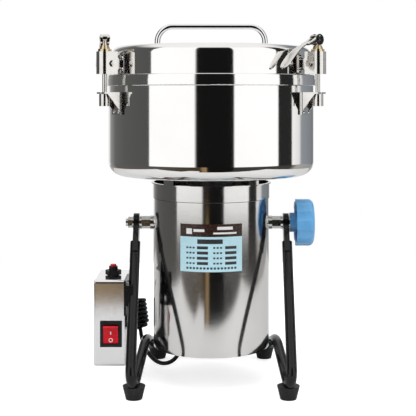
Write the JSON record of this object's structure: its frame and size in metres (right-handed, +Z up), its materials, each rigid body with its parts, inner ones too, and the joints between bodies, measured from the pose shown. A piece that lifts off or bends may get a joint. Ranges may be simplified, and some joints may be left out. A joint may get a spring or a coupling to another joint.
{
  "type": "hammer mill",
  "caption": "Tilting hammer mill with a round lidded grinding bowl on a motor housing, toggle clamps, bent-tube stand and switch box.",
  "frame": {"origin": "on the floor, below the axis of the motor and bowl", "axes": "+Z up; the rocker switch and label face -Y; the switch box is on the -X side"},
  "size_m": [0.2932, 0.301, 0.466],
  "materials": {
    "black_tube": "gloss black paint",
    "black_rubber": "matt black rubber",
    "chrome_box": "bright plated sheet",
    "zinc": "bright zinc plate",
    "black_bracket": "gloss black paint",
    "black_plastic": "satin black plastic",
    "red_rocker": "gloss red plastic",
    "red_button": "gloss red plastic",
    "brushed_housing": "fine brushed stainless",
    "base_metal": "black enamel",
    "label": "printed foil with plain bars",
    "blue_plastic": "satin blue plastic",
    "lamination": "stacked laminations",
    "copper": "enamelled copper wire",
    "cast_alloy": "as cast, dark",
    "bearing_steel": "ground steel",
    "brush_housing": "stamped brass",
    "carbon": "dull carbon",
    "fan_plastic": "moulded",
    "silicone": "soft silicone",
    "blade_steel": "ground stainless",
    "mirror_steel": "mirror-polished stainless",
    "handle_chrome": "polished chrome",
    "clamp_steel": "polished stainless castings",
    "cord_rubber": "satin black cord sheath"
  },
  "bodies": {
    "stand": {"stand_frame": "black_tube", "rubber_feet": "black_rubber", "switch_box": "chrome_box", "switch_box_cover": "chrome_box", "bracket_screws": "zinc", "box_bracket": "black_bracket", "rocker_bezel": "black_plastic", "breaker_body": "black_plastic", "breaker_nut": "black_plastic", "box_glands": "black_plastic", "cord_lead_upper": "cord_rubber", "cord_coil": "cord_rubber", "cord_lead_lower": "cord_rubber"},
    "mill": {"pivot_nut": "zinc", "trunnion_left": "zinc", "trunnion_right": "zinc", "motor_gland": "black_plastic", "motor_housing": "brushed_housing", "collar": "brushed_housing", "base_cover": "base_metal", "rating_label": "label", "stator_core": "lamination", "field_windings": "copper", "upper_bracket": "cast_alloy", "lower_bracket": "cast_alloy", "motor_bearings": "bearing_steel", "brush_holders": "brush_housing", "carbon_brushes": "carbon", "shaft_seal": "silicone", "lid_gasket": "silicone", "bowl": "mirror_steel", "rim_band": "mirror_steel", "lid": "mirror_steel", "lid_handle": "handle_chrome", "catch_brackets": "clamp_steel", "lid_lugs": "clamp_steel", "clamp_rivets": "clamp_steel", "clamp_pivot_bolts": "clamp_steel"},
    "rotor": {"motor_shaft": "bearing_steel", "armature_core": "lamination", "armature_windings": "copper", "commutator": "copper", "cooling_fan": "fan_plastic", "blade_lower": "blade_steel", "blade_upper": "blade_steel", "blade_spacers": "blade_steel", "blade_nut": "blade_steel"},
    "lock_carrier": {"lock_washer": "zinc"},
    "lock_knob": {"lock_knob": "blue_plastic"},
    "rocker": {"rocker": "red_rocker"},
    "reset_button": {"reset_button": "red_button"},
    "sleeve_front_right": {"sleeve_front_right": "clamp_steel"},
    "bolt_front_right": {"swing_bolt_front_right": "clamp_steel"},
    "lever_front_right": {"lever_front_right": "clamp_steel"},
    "sleeve_rear": {"sleeve_rear": "clamp_steel"},
    "bolt_rear": {"swing_bolt_rear": "clamp_steel"},
    "lever_rear": {"lever_rear": "clamp_steel"},
    "sleeve_front_left": {"sleeve_front_left": "clamp_steel"},
    "bolt_front_left": {"swing_bolt_front_left": "clamp_steel"},
    "lever_front_left": {"lever_front_left": "clamp_steel"}
  },
  "joints": [
    {"name": "tilt", "type": "hinge", "parent": "stand", "child": "mill", "pos_m": [0, 0, 0.204], "axis": [1, 0, 0], "range_deg": [-70, 70], "deforming": ["cord_coil", "cord_lead_lower"]},
    {"name": "rotor_spin", "type": "hinge", "parent": "mill", "child": "rotor", "pos_m": [0, 0, 0.2], "axis": [0, 0, 1], "continuous": true},
    {"name": "lock_travel", "type": "slide", "parent": "mill", "child": "lock_carrier", "axis": [1, 0, 0], "range_m": [0, 0.0015]},
    {"name": "knob_turn", "type": "hinge", "parent": "lock_carrier", "child": "lock_knob", "pos_m": [0.11, 0, 0.204], "axis": [1, 0, 0], "range_deg": [0, 360]},
    {"name": "rocker_tip", "type": "hinge", "parent": "stand", "child": "rocker", "pos_m": [-0.1273, -0.049, 0.0685], "axis": [1, 0, 0], "range_deg": [0, 19]},
    {"name": "button_push", "type": "slide", "parent": "stand", "child": "reset_button", "axis": [0, 0, -1], "range_m": [0, 0.0025], "stiffness_N_per_m": 400, "springref_m": -0.001},
    {"name": "clamp_swing_front_right", "type": "hinge", "parent": "mill", "child": "sleeve_front_right", "pos_m": [0.12644, -0.073, 0.411], "axis": [-0.5, -0.866, 0], "range_deg": [0, 26]},
    {"name": "rod_drop_front_right", "type": "slide", "parent": "sleeve_front_right", "child": "bolt_front_right", "axis": [0, 0, -1], "range_m": [0, 0.0045]},
    {"name": "lever_lift_front_right", "type": "hinge", "parent": "bolt_front_right", "child": "lever_front_right", "pos_m": [0.1325, -0.0765, 0.443], "axis": [-0.6428, 0.766, 0], "range_deg": [0, 145]},
    {"name": "clamp_swing_rear", "type": "hinge", "parent": "mill", "child": "sleeve_rear", "pos_m": [0, 0.146, 0.411], "axis": [1, 0, 0], "range_deg": [0, 26]},
    {"name": "rod_drop_rear", "type": "slide", "parent": "sleeve_rear", "child": "bolt_rear", "axis": [0, 0, -1], "range_m": [0, 0.0045]},
    {"name": "lever_lift_rear", "type": "hinge", "parent": "bolt_rear", "child": "lever_rear", "pos_m": [0, 0.153, 0.443], "axis": [-0.342, -0.9397, 0], "range_deg": [0, 145]},
    {"name": "clamp_swing_front_left", "type": "hinge", "parent": "mill", "child": "sleeve_front_left", "pos_m": [-0.12644, -0.073, 0.411], "axis": [-0.5, 0.866, 0], "range_deg": [0, 26]},
    {"name": "rod_drop_front_left", "type": "slide", "parent": "sleeve_front_left", "child": "bolt_front_left", "axis": [0, 0, -1], "range_m": [0, 0.0045]},
    {"name": "lever_lift_front_left", "type": "hinge", "parent": "bolt_front_left", "child": "lever_front_left", "pos_m": [-0.1325, -0.0765, 0.443], "axis": [0.9848, 0.1736, 0], "range_deg": [0, 145]}
  ],
  "couplings": [
    {"joint": "knob_turn", "follows": "lock_travel", "rad_per_m": 4188.8},
    {"joint": "rod_drop_front_right", "follows": "clamp_swing_front_right", "m_per_rad": 0.008},
    {"joint": "lever_lift_front_right", "follows": "clamp_swing_front_right", "ratio": 5},
    {"joint": "rod_drop_rear", "follows": "clamp_swing_rear", "m_per_rad": 0.008},
    {"joint": "lever_lift_rear", "follows": "clamp_swing_rear", "ratio": 5},
    {"joint": "rod_drop_front_left", "follows": "clamp_swing_front_left", "m_per_rad": 0.008},
    {"joint": "lever_lift_front_left", "follows": "clamp_swing_front_left", "ratio": 5}
  ]
}
